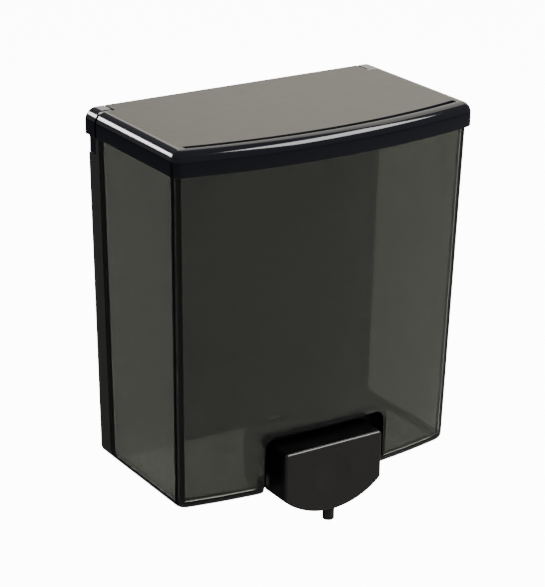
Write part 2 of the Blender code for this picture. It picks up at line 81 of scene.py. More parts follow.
# %% [markdown]
# Nearly every piece here is a shell with a bowed front or a turned part, so a few shape tools serve
# them all: an arc, a loft through rings of equal count, and a plan with a bowed front and rounded
# corners. Rings are surer than sculpting, since each height is a formula and walls stay even.

# %% Shape tools
def arc(centre, radius, start, end, steps):
    """Points round a centre from one angle to another, in degrees."""
    points = []
    for i in range(steps + 1):
        turn = math.radians(start + (end - start) * i / steps)
        points.append((centre[0] + radius * math.cos(turn), centre[1] + radius * math.sin(turn)))
    return points


def plan(half_w, apex, radius, corner, back, z, steps=56, corner_steps=8):
    """One level ring: straight back and sides, rounded corners and a bowed front."""
    middle = radius - apex
    centre_x = half_w - corner
    centre_y = middle - math.sqrt((radius - corner) ** 2 - centre_x**2)
    lean = math.degrees(math.atan2(centre_y - middle, centre_x))
    right = arc((centre_x, centre_y), corner, 0, lean, corner_steps)
    front = arc((0.0, middle), radius, lean, -180 - lean, steps)[1:-1]
    left = [(-x, y) for x, y in reversed(right)]
    outline = [(half_w, back)] + right + front + left + [(-half_w, back)]
    return [(x, y, z) for x, y in outline]


def loft(rings):
    """Joins rings of equal count and closes both ends."""
    bm = bmesh.new()
    rows = [[bm.verts.new(point) for point in ring] for ring in rings]
    for lower, upper in zip(rows, rows[1:]):
        for i in range(len(lower)):
            j = (i + 1) % len(lower)
            bm.faces.new((lower[i], lower[j], upper[j], upper[i]))
    bm.faces.new(list(reversed(rows[0])))
    bm.faces.new(rows[-1])
    bmesh.ops.recalc_face_normals(bm, faces=bm.faces)
    return bm


def prism(points, axis, low, high):
    """An outline pushed along X or Y."""
    if axis == "X":
        return loft([[(level, a, b) for a, b in points] for level in (low, high)])
    return loft([[(a, level, b) for a, b in points] for level in (low, high)])


def rod(centre, axis, low, high, radius, steps=40):
    ring = arc(centre, radius, 0, 360, steps)[:-1]
    if axis == "Z":
        return loft([[(a, b, level) for a, b in ring] for level in (low, high)])
    return prism(ring, axis, low, high)


def mirrored(points):
    """A left half for a right one, in the order that closes the outline."""
    return points + [(-x, z) for x, z in reversed(points)]


def across(side, inner, outer):
    """The X range between two distances from the middle, on one side."""
    return sorted((side * inner, side * outer))


def block(x, y, z):
    return prism([(x[0], z[0]), (x[1], z[0]), (x[1], z[1]), (x[0], z[1])], "Y", y[0], y[1])


def turned(profile, x, z, steps=40, axis="Y", y=0.0):
    """Turns (along, radius) points about a line along Y or Z; radius 0 closes the tip."""
    bm = bmesh.new()
    place = {"Y": lambda a, u, v: (x + u, a, z + v), "Z": lambda a, u, v: (x + u, y + v, a)}[axis]
    tips = {k: bm.verts.new(place(a, 0, 0)) for k, (a, r) in enumerate(profile) if r == 0}
    rows = []
    for i in range(steps):
        turn = 2 * math.pi * i / steps
        rows.append([
            tips.get(k) or bm.verts.new(place(a, r * math.cos(turn), r * math.sin(turn)))
            for k, (a, r) in enumerate(profile)
        ])
    for row, other in zip(rows, rows[1:] + rows[:1]):
        for k in range(len(profile)):
            n = (k + 1) % len(profile)
            corners = list(dict.fromkeys((row[k], row[n], other[n], other[k])))
            if len(corners) > 2:
                bm.faces.new(corners)
    bmesh.ops.recalc_face_normals(bm, faces=bm.faces)
    return bm


print("shape tools ready; bow radius", round(BOW_R, 1), "mm")

# %% [markdown]
# Real mouldings have no knife edges. Pieces are cut and joined with exact Booleans, softened with a
# small bevel, and baked to plain meshes, so that nothing live is left.

# %% Making a piece
def thing(name, bm):
    mesh = bpy.data.meshes.new(name)
    bmesh.ops.transform(bm, matrix=Matrix.Scale(MM, 4), verts=bm.verts)
    bm.to_mesh(mesh)
    bm.free()
    obj = bpy.data.objects.new(name, mesh)
    bpy.context.scene.collection.objects.link(obj)
    return obj


def bake(obj):
    graph = bpy.context.evaluated_depsgraph_get()
    mesh = bpy.data.meshes.new_from_object(obj.evaluated_get(graph))
    obj.modifiers.clear()
    obj.data = mesh
    return obj


def shape(obj, steps):
    """Applies ("UNION" or "DIFFERENCE" or "INTERSECT", mesh) steps in order."""
    for operation, bm in steps:
        other = thing("tool", bm)
        modifier = obj.modifiers.new("step", "BOOLEAN")
        modifier.operation, modifier.solver, modifier.object = operation, "EXACT", other
        bake(obj)
        bpy.data.objects.remove(other, do_unlink=True)
    return obj


def soften(obj, width=0.25, angle=32, segments=2, smooth=35):
    """Rounds the sharp edges, then shades smooth everywhere but on what is still sharp."""
    modifier = obj.modifiers.new("soft edges", "BEVEL")
    modifier.width, modifier.segments = width * MM, segments
    modifier.limit_method, modifier.angle_limit = "ANGLE", math.radians(angle)
    modifier.use_clamp_overlap = True
    bake(obj)
    obj.data.polygons.foreach_set("use_smooth", [True] * len(obj.data.polygons))
    obj.data.set_sharp_from_angle(angle=math.radians(smooth))
    weighted = obj.modifiers.new("flat faces stay flat", "WEIGHTED_NORMAL")
    weighted.keep_sharp, weighted.weight = True, 100
    return bake(obj)


def put(obj, body, slot, mat, *nodes):
    """Gives a finish, the body it rides and the nodes it stands in for."""
    obj.data.materials.clear()
    obj.data.materials.append(mat)
    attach(obj, body)
    if nodes:
        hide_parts(*nodes)
    print(obj.name, len(obj.data.polygons), "faces on", body)
    return obj


# %% [markdown]
# The object has few finishes: smoke-tinted clear plastic, glossy and textured black, bright steel
# and white valve plastic. Tinted plastic is a glass shader with a dark colour, and the rest share
# one fine grain made from noise on Object coordinates, so it stays with the surface. Darker copies
# of the plastics are painted shade on the tank's rounded edges and recess walls and the button's sides.

# %% Materials
def plastic(name, colour, roughness, **extra):
    mat = bpy.data.materials.new(name)
    mat.use_nodes = True
    shader = mat.node_tree.nodes["Principled BSDF"]
    shader.inputs["Base Color"].default_value = (*colour, 1.0)
    shader.inputs["Roughness"].default_value = roughness
    for key, value in extra.items():
        shader.inputs[key.replace("_", " ")].default_value = value
    return mat


def grain(mat, scale, height, spread=0.0):
    """Fine moulded grain: a bump of this height, and a roughness that wanders by the spread."""
    nodes, links = mat.node_tree.nodes, mat.node_tree.links
    shader = nodes["Principled BSDF"]
    place = nodes.new("ShaderNodeTexCoord")
    noise = nodes.new("ShaderNodeTexNoise")
    noise.inputs["Scale"].default_value = scale
    noise.inputs["Detail"].default_value = 4.0
    links.new(place.outputs["Object"], noise.inputs["Vector"])
    bump = nodes.new("ShaderNodeBump")
    bump.inputs["Distance"].default_value = height * MM
    links.new(noise.outputs["Fac"], bump.inputs["Height"])
    links.new(bump.outputs["Normal"], shader.inputs["Normal"])
    if spread:
        base = shader.inputs["Roughness"].default_value
        cloud = nodes.new("ShaderNodeTexNoise")
        cloud.inputs["Scale"].default_value = scale / 15
        links.new(place.outputs["Object"], cloud.inputs["Vector"])
        level = nodes.new("ShaderNodeMapRange")
        for label, value in (("From Min", 0.3), ("From Max", 0.7),
                             ("To Min", base - spread), ("To Max", base + spread)):
            level.inputs[label].default_value = value
        links.new(cloud.outputs["Fac"], level.inputs["Value"])
        links.new(level.outputs["Result"], shader.inputs["Roughness"])
    return mat


smoke = plastic("smoke_plastic", (0.051, 0.0525, 0.045), 0.03, Transmission_Weight=1.0, IOR=1.49)
# A near-black copy of the smoke plastic, used as painted shade on the tank's edges and recess walls.
smoke_painted_shade = plastic("smoke_painted_shade", (0.0003, 0.0003, 0.00025), 0.06, Transmission_Weight=1.0, IOR=1.49)
gloss = grain(plastic("gloss_black", (0.006, 0.007, 0.012), 0.08, IOR=1.5), 300, 0.002, 0.02)
button_black = grain(plastic("button_black", (0.028, 0.027, 0.0245), 0.14), 1800, 0.002, 0.02)
satin = grain(plastic("satin_black", (0.034, 0.033, 0.030), 0.4), 2500, 0.003, 0.02)
panel = grain(plastic("panel_black", (0.040, 0.036, 0.028), 0.44), 3000, 0.012, 0.01)
panel.node_tree.nodes["Principled BSDF"].inputs["Specular Tint"].default_value = (1.0, 0.96, 0.86, 1.0)
# Near-black: the recess liner's own colour, and painted shade where it goes on the button's sides.
liner_black_and_painted_shade = grain(plastic("liner_black_and_painted_shade", (0.004, 0.004, 0.004), 0.35), 2000, 0.008, 0.05)
zinc = grain(plastic("zinc_plate", (0.56, 0.57, 0.58), 0.34, Metallic=1.0), 220, 0.01, 0.09)
steel = grain(plastic("screw_steel", (0.6, 0.6, 0.6), 0.24, Metallic=1.0), 1500, 0.003, 0.05)
wire = grain(plastic("spring_steel", (0.6, 0.6, 0.62), 0.2, Metallic=1.0), 1500, 0.003, 0.05)
white = grain(plastic("valve_plastic", (0.72, 0.71, 0.66), 0.36), 900, 0.006, 0.05)
rubber = grain(plastic("seal_rubber", (0.02, 0.02, 0.02), 0.7), 2500, 0.012, 0.06)
by_slot = dict(
    smoke_plastic=smoke, gloss_black=gloss, button_black=button_black, satin_black=satin,
    zinc_plate=zinc, screw_steel=steel, spring_steel=wire, valve_plastic=white, seal_rubber=rubber,
)
for part in frame["record"]["subparts"]:
    for place in frame["nodes"][part["node"]].material_slots:
        place.material = by_slot[part["material_slot"]]
print(len(by_slot), "finishes")

# %% [markdown]
# The tank is a tapering moulded box, open above, with a recess for the button in its front. It could
# be a solid with a second one cut out. One loft that goes out and up the outside, over the rim and
# down the inside gives both walls and both fillets in a single closed shell.

# %% Tank
def taper_at(z):
    """0 at the lid's lower edge, 1 at the tank's bottom."""
    return min(max((LID_BOTTOM - z) / (LID_BOTTOM - TANK_BOTTOM), 0.0), 1.0)


def tank_half_w(z):
    return LID_HALF_W - TANK_INSET - TANK_NARROWS * taper_at(z)


def tank_ring(z, inset, back, corner=3.6):
    apex = TANK_APEX - TANK_RECEDES * taper_at(z) - inset
    return plan(tank_half_w(z) - inset, apex, BOW_R - TANK_INSET - inset, corner, back, z)


def recess_block(half_w, top, back, corner, wall):
    """The walls round a recess, ending halfway through the tank's front wall."""
    r, into_wall, low = corner + wall, 1.3, -77.8
    levels = [(low, 0.0), (top + wall - r, 0.0)]
    levels += [(top + wall - r * (1 - math.sin(math.radians(9 * i))),
                r * (1 - math.cos(math.radians(9 * i))) * 0.98) for i in range(1, 11)]
    rings = []
    for z, narrow in levels:
        radius = BOW_R - TANK_INSET - into_wall
        apex = TANK_APEX - into_wall - TANK_RECEDES * taper_at(z)
        half = half_w + wall - narrow
        front = [half * (1 - i / 8) for i in range(17)]
        ring = [(half, back + wall, z)]
        ring += [(x, radius - apex - math.sqrt(radius**2 - x * x), z) for x in front]
        rings.append(ring + [(-half, back + wall, z)])
    return loft(rings)


def recess_cut(half_w, top, back, corner):
    """The space of a recess: round above, flared where it leaves the tank's bottom."""
    flare = 2.4
    right = arc((half_w - corner, top - corner), corner, 90, 0, 10)
    right += arc((half_w + flare, TANK_BOTTOM + flare), flare, 180, 270, 8)
    right += [(half_w + flare, TANK_BOTTOM - 8.0)]
    return prism(mirrored(right), "Y", back, -95.0)


rings = []
for i in range(10):
    turn = math.radians(10 * i)
    z = TANK_BOTTOM + TANK_FILLET * (1 - math.cos(turn))
    rings.append(tank_ring(z, TANK_FILLET * (1 - math.sin(turn)), TANK_BACK))
rings.append(tank_ring(SHOULDER_Z, 0.0, TANK_BACK))
rings.append(tank_ring(SHOULDER_Z, RIM_STEP, TANK_BACK - 0.4))
rings.append(tank_ring(RIM_Z, RIM_STEP, TANK_BACK - 0.4))
rings.append(tank_ring(RIM_Z, TANK_WALL, TANK_BACK - TANK_WALL, 1.6))
for i in range(7):
    turn = math.radians(15 * i)
    inset = 2.5 * (1 - math.cos(turn))
    z = TANK_FLOOR + 2.5 * (1 - math.sin(turn))
    rings.append(tank_ring(z, TANK_WALL + inset, TANK_BACK - TANK_WALL - inset, 1.6))
gate_mark = [(-77.0, 0), (-77.0, 2.4), (-76.3, 2.2), (-76.1, 1.9), (-76.1, 0)]
tank = shape(thing("tank", loft(rings)), [
    ("UNION", recess_block(**RECESS, wall=2.5)),
    ("UNION", recess_block(**POCKET, wall=2.2)),
    ("DIFFERENCE", recess_cut(**RECESS)),
    ("DIFFERENCE", recess_cut(**POCKET)),
    ("DIFFERENCE", rod((0.0, VALVE_Z), "Y", POCKET["back"] - 1, POCKET["back"] + 4, VALVE_HOLE_R)),
    ("UNION", turned(gate_mark, -21.7, 0.0, 40, "Z", -31.5)),
])
soften(tank, 0.4, 40)
put(tank, "dispenser", "smoke_plastic", smoke, "container")

# %% [markdown]
# A much darker copy of the tank's plastic is painted shade on the tank's fillets, its upright corners
# and the walls of its recess. Their faces are found by the way they face and where they are, so no
# outline is drawn twice.

# %% Painted shade on the tank's edges and recess
# The second material is painted shade: the same plastic made far darker.
tank.data.materials.append(smoke_painted_shade)
painted_shade = 0
for face in tank.data.polygons:
    sideways, outward, up = (abs(v) for v in face.normal)
    x, y, z = face.center / MM
    fillet = 0.1 < up < 0.9995
    corner = sideways > 0.26 and outward > 0.04
    in_recess = abs(x) < RECESS["half_w"] + 0.1 and -74.0 < y < -56.9 and -79.0 < z < RECESS["top"] + 0.1
    if fillet or corner or in_recess:
        face.material_index = 1
        painted_shade += 1
print(painted_shade, "faces with the deeper tint")

# %% [markdown]
# The lid is a shallow glossy cap with a textured flat top. It is lofted like the tank, hollowed from
# below, and cut back round the hinge ears with a gap that shows as a dark seam. A groove along its
# front parts the textured panel from the glossy edge, so it is cut as real geometry.

# %% Lid
def lid_ring(z, inset):
    corner = max(4.5 - inset, 1.0)
    return plan(LID_HALF_W - inset, LID_APEX - inset, BOW_R - inset, corner, LID_BACK, z)


def ear_front(gap):
    """The round front of an ear, or the lid's cut that leaves a gap before it."""
    radius = EAR_R + gap
    top = math.degrees(math.asin(min((LID_TOP + 1.0 - HINGE_Z) / radius, 1.0)))
    return arc((HINGE_Y, HINGE_Z), radius, 180, 180 - top, 14)


rings = [lid_ring(LID_BOTTOM, 0.6), lid_ring(LID_BOTTOM + 0.15, 0.2), lid_ring(LID_BOTTOM + 0.5, 0.0)]
for i in range(13):
    turn = math.radians(7.5 * i)
    rings.append(lid_ring(LID_TOP - LID_EDGE_R * (1 - math.sin(turn)), LID_EDGE_R * (1 - math.cos(turn))))
GROOVE_IN, GROOVE_HALF_LENGTH = 5.6, 66.0
groove = []
for i in range(61):
    x = GROOVE_HALF_LENGTH * (i / 30 - 1)
    groove.append([
        (x, BOW_R - LID_APEX - math.sqrt((BOW_R - GROOVE_IN - inset) ** 2 - x * x), LID_TOP + z)
        for inset, z in ((-1.1, 0.4), (-0.7, -1.1), (1.5, -1.1), (1.9, 0.4))
    ])
hollow = []
for z, inset in ((60.0, 0.0), (73.8, 0.0), (75.8, 0.8), (76.8, 3.0)):
    hollow.append([(x, 5.0 if y > -1 else y, z) for x, y, z in lid_ring(z, LID_WALL + inset)])
SEAM = 1.5
seam_x = EAR_INNER_X - 0.7
space = ear_front(SEAM) + [(5.0, 80.0), (5.0, 60.0), (HINGE_Y - EAR_R - SEAM, 60.0)]
steps = [("DIFFERENCE", loft(hollow))]
for side in (-1, 1):
    steps += [
        ("UNION", rod((HINGE_Y, HINGE_Z), "X", side * 60.3, side * 64.6, 2.6)),
        ("DIFFERENCE", prism(space, "X", side * seam_x, side * 80.0)),
        ("DIFFERENCE", rod((HINGE_Y, HINGE_Z), "X", side * 59.0, side * 66.0, PIN_HOLE_R)),
    ]
steps.append(("DIFFERENCE", loft(groove)))
lid = shape(thing("lid_shell", loft(rings)), steps)
soften(lid, 0.15, 40)
put(lid, "lid", "gloss_black", gloss, "lid")

# %% [markdown]
# The flat top behind the groove is textured, and the rounded edge is polished. Both are one
# moulding, so the panel is a second finish on the same piece and not a piece of its own.

# %% Textured panel on the lid
lid.data.materials.append(panel)
textured = 0
for face in lid.data.polygons:
    x, y, z = face.center / MM
    groove_back = BOW_R - LID_APEX - math.sqrt((BOW_R - 7.0) ** 2 - x * x)
    if z > LID_TOP - 0.05 and abs(x) < LID_HALF_W - LID_EDGE_R + 0.1 and y > groove_back:
        face.material_index = 1
        textured += 1
print(textured, "textured faces")

# %% [markdown]
# The hinge ears finish the lid's profile at the wall, and each has a leg down the rear housing. An
# ear is the lid's cross section met with its own rounded side view, which keeps both outlines true.

# %% Hinge ears
for side, name in ((-1, "left"), (1, "right")):
    outline = ear_front(0.0) + [(LID_BACK, 80.0), (LID_BACK, LID_BOTTOM), (HINGE_Y - EAR_R, LID_BOTTOM)]
    rounding = arc((LID_HALF_W - LID_EDGE_R, LID_TOP - LID_EDGE_R), LID_EDGE_R, 0, 90, 12)
    section = [(61.3, 60.0), (LID_HALF_W, 60.0)] + rounding + [(61.3, LID_TOP)]
    ear = shape(thing("ear_" + name, prism(outline, "X", side * EAR_INNER_X, side * 76.0)), [
        ("INTERSECT", prism([(side * x, z) for x, z in section], "Y", -20.0, 5.0)),
        ("UNION", block(across(side, 65.0, 71.2), (-6.4, -0.6), (60.3, 69.5))),
        ("DIFFERENCE", rod((HINGE_Y, HINGE_Z), "X", side * 60.0, side * 70.8, PIN_HOLE_R)),
        ("DIFFERENCE", turned([(2, 0), (2, 2.4), (-2.5, 2.4), (-2.5, 1.5), (-8, 1.5), (-8, 0)],
                              side * SCREW_X, SCREW_Z)),
    ])
    soften(ear, 0.35, 40, 3)
    put(ear, "dispenser", "gloss_black", gloss, "hinge_ear_" + name)

# %% [markdown]
# The push button is a deep cup with a straight top, a bowed bottom edge and a softly rounded face
# with a faint dish for the finger. Rings of one outline, each a little smaller, make the rounding.
# Inside are the boss that pushes the piston and the way from it down to the spout.

# %% Push button
BUTTON_HALF_W, BUTTON_DROP, BUTTON_ROUND, BUTTON_WALL = 24.6, 9.5, 1.2, 1.8
DISH_R, DISH_DEEP = 10.5, 0.45


def button_ring(y, inset):
    radius = (BUTTON_HALF_W**2 + BUTTON_DROP**2) / (2 * BUTTON_DROP)
    half, corner = BUTTON_HALF_W - inset, max(1.4 - inset, 0.3)
    points = arc((half - corner, BUTTON_TOP - inset - corner), corner, 90, 0, 6)
    edge = math.degrees(math.asin(half / (radius - inset)))
    points += arc((0.0, BUTTON_BOTTOM + radius), radius - inset, -90 + edge, -90 - edge, 48)
    points += [(-x, z) for x, z in reversed(points[:7])]
    return [(x, y, z) for x, z in points]


rings = [button_ring(-66.1, 0.0)]
for i in range(9):
    turn = math.radians(11.25 * i)
    y = BUTTON_FACE + BUTTON_ROUND * (1 - math.sin(turn))
    rings.append(button_ring(y, BUTTON_ROUND * (1 - math.cos(turn))))
dish_sphere = (9.5**2 + DISH_DEEP**2) / (2 * DISH_DEEP)
dish = [(-85.0, 0), (-85.0, DISH_R)]
for i in range(9):
    r = DISH_R * (1 - i / 8)
    dish.append((BUTTON_FACE + DISH_DEEP - dish_sphere + math.sqrt(dish_sphere**2 - r * r), r))
button = shape(thing("button", loft(rings)), [
    ("DIFFERENCE", loft([button_ring(-64.0, BUTTON_WALL), button_ring(-79.9, BUTTON_WALL)])),
    ("UNION", block((-3.2, 3.2), (-80.6, -75.9), (-87.6, VALVE_Z + 0.2))),
    ("UNION", rod((0.0, VALVE_Z), "Y", -80.5, -75.6, 5.8)),
    ("UNION", rod((0.0, VALVE_Z), "Y", -79.6, -73.5, 3.6)),
    ("DIFFERENCE", rod((0.0, VALVE_Z), "Y", -79.4, -70.0, 2.0)),
    ("DIFFERENCE", rod((0.0, SPOUT_Y), "Z", -95.0, VALVE_Z, 1.5)),
    ("DIFFERENCE", turned(dish, 0.0, -73.5, 64)),
])
soften(button, 0.2, 50)
put(button, "plunger", "button_black", button_black, "push_button")

# %% [markdown]
# Only the face of the button is polished. Its sides run in the recess; they are dull, and their
# near-black colour is painted shade.

# %% Painted shade on the button's sides
# The button's sides get the near-black material as painted shade.
button.data.materials.append(liner_black_and_painted_shade)
for face in button.data.polygons:
    if abs(face.normal.y) < 0.2 and face.center.y > (BUTTON_FACE + BUTTON_ROUND - 0.1) * MM:
        face.material_index = 1
print("button half width", BUTTON_HALF_W, "mm")

# %% [markdown]
# The spout is a short round tube under the button, with a rubber valve inside its tip. It is turned
# from one profile: up the rounded outside, then down the stepped bore.

# %% Spout
TIP_ROUND, TIP_BORE, WAY_BORE = 0.5, 1.75, 0.8
tube = [(SPOUT_TIP, TIP_BORE)]
for along, out in arc((SPOUT_TIP + TIP_ROUND, SPOUT_R - TIP_ROUND), TIP_ROUND, 180, 90, 6):
    tube.append((along, out))
tube += [(SPOUT_TOP, SPOUT_R), (SPOUT_TOP, 1.35), (-84.0, 1.35), (-84.0, WAY_BORE)]
tube += [(-91.8, WAY_BORE), (-91.8, TIP_BORE)]
nozzle = thing("nozzle", turned(tube, 0.0, 0.0, 48, "Z", SPOUT_Y))
soften(nozzle, 0.12, 50)
put(nozzle, "plunger", "button_black", button_black, "spout")

# %% [markdown]
# The rear housing is a shallow tray behind the tank. It carries the hinge ears on its shoulders and
# hangs on the wall plate by two downward lips. A tray is an outline, extruded and hollowed.

# %% Rear housing
HOUSING_FRONT, HOUSING_BACK, HOUSING_LOW, HOUSING_WALL = -9.0, -0.3, -79.1, 2.2
LEG_FLOOR_Z, SWING_Z = 60.0, 65.8


def tray(top, corner):
    """An outline with given points above and a rounded corner below, on a shared centre."""
    centre = (tank_half_w(HOUSING_LOW) - 3.92, HOUSING_LOW + 4.0)
    return mirrored(top + arc(centre, corner, 0, -90, 10))


outer = tray([(63.9, 73.0), (63.9, SHOULDER_Z), (tank_half_w(SHOULDER_Z), SHOULDER_Z)], 4.0)
hollow = tray([(tank_half_w(63.6) - HOUSING_WALL, 63.6)], 4.0 - HOUSING_WALL)
steps = [("DIFFERENCE", prism(hollow, "Y", -6.8, 3.0)),
         ("DIFFERENCE", block((-80, 80), (-6.7, 3.0), (SWING_Z, 90.0)))]
for side in (-1, 1):
    steps += [
        ("DIFFERENCE", block(across(side, 64.6, 80.0), (-6.7, 3.0), (LEG_FLOOR_Z, 90.0))),
        ("UNION", block(across(side, 62.4, 64.6), (-7.5, HOUSING_BACK), (57.8, SWING_Z))),
        ("UNION", block(across(side, 62.4, 69.6), (-7.5, HOUSING_BACK), (57.8, LEG_FLOOR_Z))),
        ("DIFFERENCE", rod((side * SCREW_X, SCREW_Z), "Y", -8.75, 0.0, 1.33)),
        ("UNION", block(across(side, 20.0, 32.0), (-7.5, -2.0), (29.0, 31.4))),
        ("UNION", block(across(side, 20.0, 32.0), (-3.4, -2.0), (22.4, 30.0))),
    ]
housing = shape(thing("housing", prism(outer, "Y", HOUSING_FRONT, HOUSING_BACK)), steps)
soften(housing, 0.3, 40)
put(housing, "dispenser", "satin_black", satin, "rear_housing")

# %% [markdown]
# Ribs stiffen the tray's lower half. They are equal and evenly spaced, so a small node tree lays
# one bar on each point of a line; its named inputs are the count, step, size and first place.

# %% A tree that lays bars in a row
def tree_of(name, inputs):
    tree = bpy.data.node_groups.new(name, "GeometryNodeTree")
    for label, kind in inputs:
        tree.interface.new_socket(label, in_out="INPUT", socket_type="NodeSocket" + kind)
    tree.interface.new_socket("Mesh", in_out="OUTPUT", socket_type="NodeSocketGeometry")
    return tree, tree.nodes.new("NodeGroupInput"), tree.nodes.new("NodeGroupOutput")


def end_tree(tree, given, result, last):
    """Makes the copies real and gives the material, as every tree here does."""
    real = tree.nodes.new("GeometryNodeRealizeInstances")
    finish = tree.nodes.new("GeometryNodeSetMaterial")
    tree.links.new(last, real.inputs["Geometry"])
    tree.links.new(real.outputs["Geometry"], finish.inputs["Geometry"])
    tree.links.new(given.outputs["Finish"], finish.inputs["Material"])
    tree.links.new(finish.outputs["Geometry"], result.inputs["Mesh"])
    return tree


def bars_tree():
    tree, given, result = tree_of("bars in a row", [
        ("Count", "Int"), ("Step", "Vector"), ("Size", "Vector"), ("First", "Vector"),
        ("Finish", "Material")])
    line = tree.nodes.new("GeometryNodeMeshLine")
    bar = tree.nodes.new("GeometryNodeMeshCube")
    lay = tree.nodes.new("GeometryNodeInstanceOnPoints")
    tree.links.new(given.outputs["Count"], line.inputs["Count"])
    tree.links.new(given.outputs["First"], line.inputs["Start Location"])
    tree.links.new(given.outputs["Step"], line.inputs["Offset"])
    tree.links.new(given.outputs["Size"], bar.inputs["Size"])
    tree.links.new(line.outputs["Mesh"], lay.inputs["Points"])
    tree.links.new(bar.outputs["Mesh"], lay.inputs["Instance"])
    return end_tree(tree, given, result, lay.outputs["Instances"])


def grown(name, tree, values):
    """Runs a tree with its named inputs and keeps the result as a plain mesh."""
    obj = bpy.data.objects.new(name, bpy.data.meshes.new(name))
    bpy.context.scene.collection.objects.link(obj)
    modifier = obj.modifiers.new(tree.name, "NODES")
    modifier.node_group = tree
    for socket in tree.interface.items_tree:
        if socket.in_out == "INPUT":
            modifier[socket.identifier] = values[socket.name]
    return bake(obj)


def mm(*values):
    """Millimetres as the metres that a node's socket takes."""
    return [v * MM for v in values]


RIB_STEP = 24.0
ribs = grown("housing_ribs", bars_tree(), {
    "Count": 3, "Step": mm(RIB_STEP, 0.0, 0.0), "Size": mm(1.8, 5.1, 34.0),
    "First": mm(-RIB_STEP, -4.95, -61.0), "Finish": satin})
soften(ribs, 0.3, 40)
put(ribs, "dispenser", "satin_black", satin)

# %% [markdown]
# The wall plate is stamped steel: rounded corners, four screw holes and two hooks bent up from it.
# It is the piece that a fitter screws to the wall, and the housing's lips drop behind its hooks.

# %% Wall plate
def rounded(low, high, corner, steps=8):
    (x0, z0), (x1, z1) = low, high
    points = arc((x1 - corner, z1 - corner), corner, 90, 0, steps)
    points += arc((x1 - corner, z0 + corner), corner, 0, -90, steps)
    points += arc((x0 + corner, z0 + corner), corner, 270, 180, steps)
    return points + arc((x0 + corner, z1 - corner), corner, 180, 90, steps)


steps = []
for side in (-1, 1):
    steps += [("UNION", block(across(side, 18.5, 33.5), (-5.2, -0.4), (20.2, 22.0))),
              ("UNION", block(across(side, 18.5, 33.5), (-5.2, -3.9), (20.2, 27.8)))]
    steps += [("DIFFERENCE", rod((side * 37.0, z), "Y", -3.0, 2.0, 2.4)) for z in (-28.0, 34.0)]
sheet = prism(rounded((-44.0, -38.0), (44.0, 42.0), 5.0), "Y", -1.5, 0.0)
plate = shape(thing("steel_plate", sheet), steps)
soften(plate, 0.2, 40)
put(plate, "dispenser", "zinc_plate", zinc, "wall_plate")

# %% [markdown]
# The black liner closes the recess behind the button: a thin flange and a deeper pocket that the
# button slides into. Both have the same arched outline, so one function draws them at each size.

# %% Recess liner
def arch(half, top, corner, low, steps=10):
    return mirrored(arc((half - corner, top - corner), corner, 90, 0, steps) + [(half, low)])


liner = shape(thing("recess_liner", prism(arch(29.9, -52.9, 4.6, -79.0), "Y", -67.9, -66.6)), [
    ("UNION", prism(arch(26.7, -56.8, 2.7, -79.0), "Y", -67.3, -57.3)),
    ("DIFFERENCE", prism(arch(25.3, -58.2, 1.3, -84.0), "Y", -90.0, -58.7)),
    ("DIFFERENCE", rod((0.0, VALVE_Z), "Y", -62.0, -50.0, VALVE_HOLE_R)),
])
soften(liner, 0.2, 40)
put(liner, "dispenser", "satin_black", liner_black_and_painted_shade, "valve_housing")

# %% [markdown]
# Screws, the pump's thread and its spring all follow a helix. A screw modifier could make one, but
# one node tree that sweeps a round wire along a spiral makes them all. Its named inputs are the
# turns, radius, length, wire and place.

# %% A tree that winds a coil
def coil_tree():
    tree, given, result = tree_of("coil along Y", [
        ("Turns", "Float"), ("Radius", "Float"), ("Length", "Float"), ("Wire", "Float"),
        ("Start", "Vector"), ("Finish", "Material")])
    spiral = tree.nodes.new("GeometryNodeCurveSpiral")
    spiral.inputs["Resolution"].default_value = 28
    section = tree.nodes.new("GeometryNodeCurvePrimitiveCircle")
    section.inputs["Resolution"].default_value = 10
    sweep = tree.nodes.new("GeometryNodeCurveToMesh")
    sweep.inputs["Fill Caps"].default_value = True
    turn = tree.nodes.new("GeometryNodeTransform")
    turn.inputs["Rotation"].default_value = (math.radians(-90), 0.0, 0.0)
    for label, sockets in (("Turns", [spiral.inputs["Rotations"]]), ("Length", [spiral.inputs["Height"]]),
                           ("Radius", [spiral.inputs["Start Radius"], spiral.inputs["End Radius"]]),
                           ("Wire", [section.inputs["Radius"]]), ("Start", [turn.inputs["Translation"]])):
        for socket in sockets:
            tree.links.new(given.outputs[label], socket)
    tree.links.new(spiral.outputs["Curve"], sweep.inputs["Curve"])
    tree.links.new(section.outputs["Curve"], sweep.inputs["Profile Curve"])
    tree.links.new(sweep.outputs["Mesh"], turn.inputs["Geometry"])
    return end_tree(tree, given, result, turn.outputs["Geometry"])


coil = coil_tree()


def wound(name, turns, radius, low, high, thick, x, z, mat):
    obj = grown(name, coil, {
        "Turns": turns, "Radius": radius * MM, "Length": (high - low) * MM, "Wire": thick * MM,
        "Start": mm(x, low, z), "Finish": mat})
    obj.data.polygons.foreach_set("use_smooth", [True] * len(obj.data.polygons))
    return obj


spring = wound("valve_spring", 5.5, 5.0, -75.1, -60.9, 0.45, 0.0, VALVE_Z, wire)
put(spring, "dispenser", "spring_steel", wire, "return_spring")
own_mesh(spring)

# %% [markdown]
# The pump's cylinder is turned, with a thread for the nut that clamps it through the tank's wall.
# The nut is a hexagon met with a double cone, which gives it the worn-off corners of a real one.

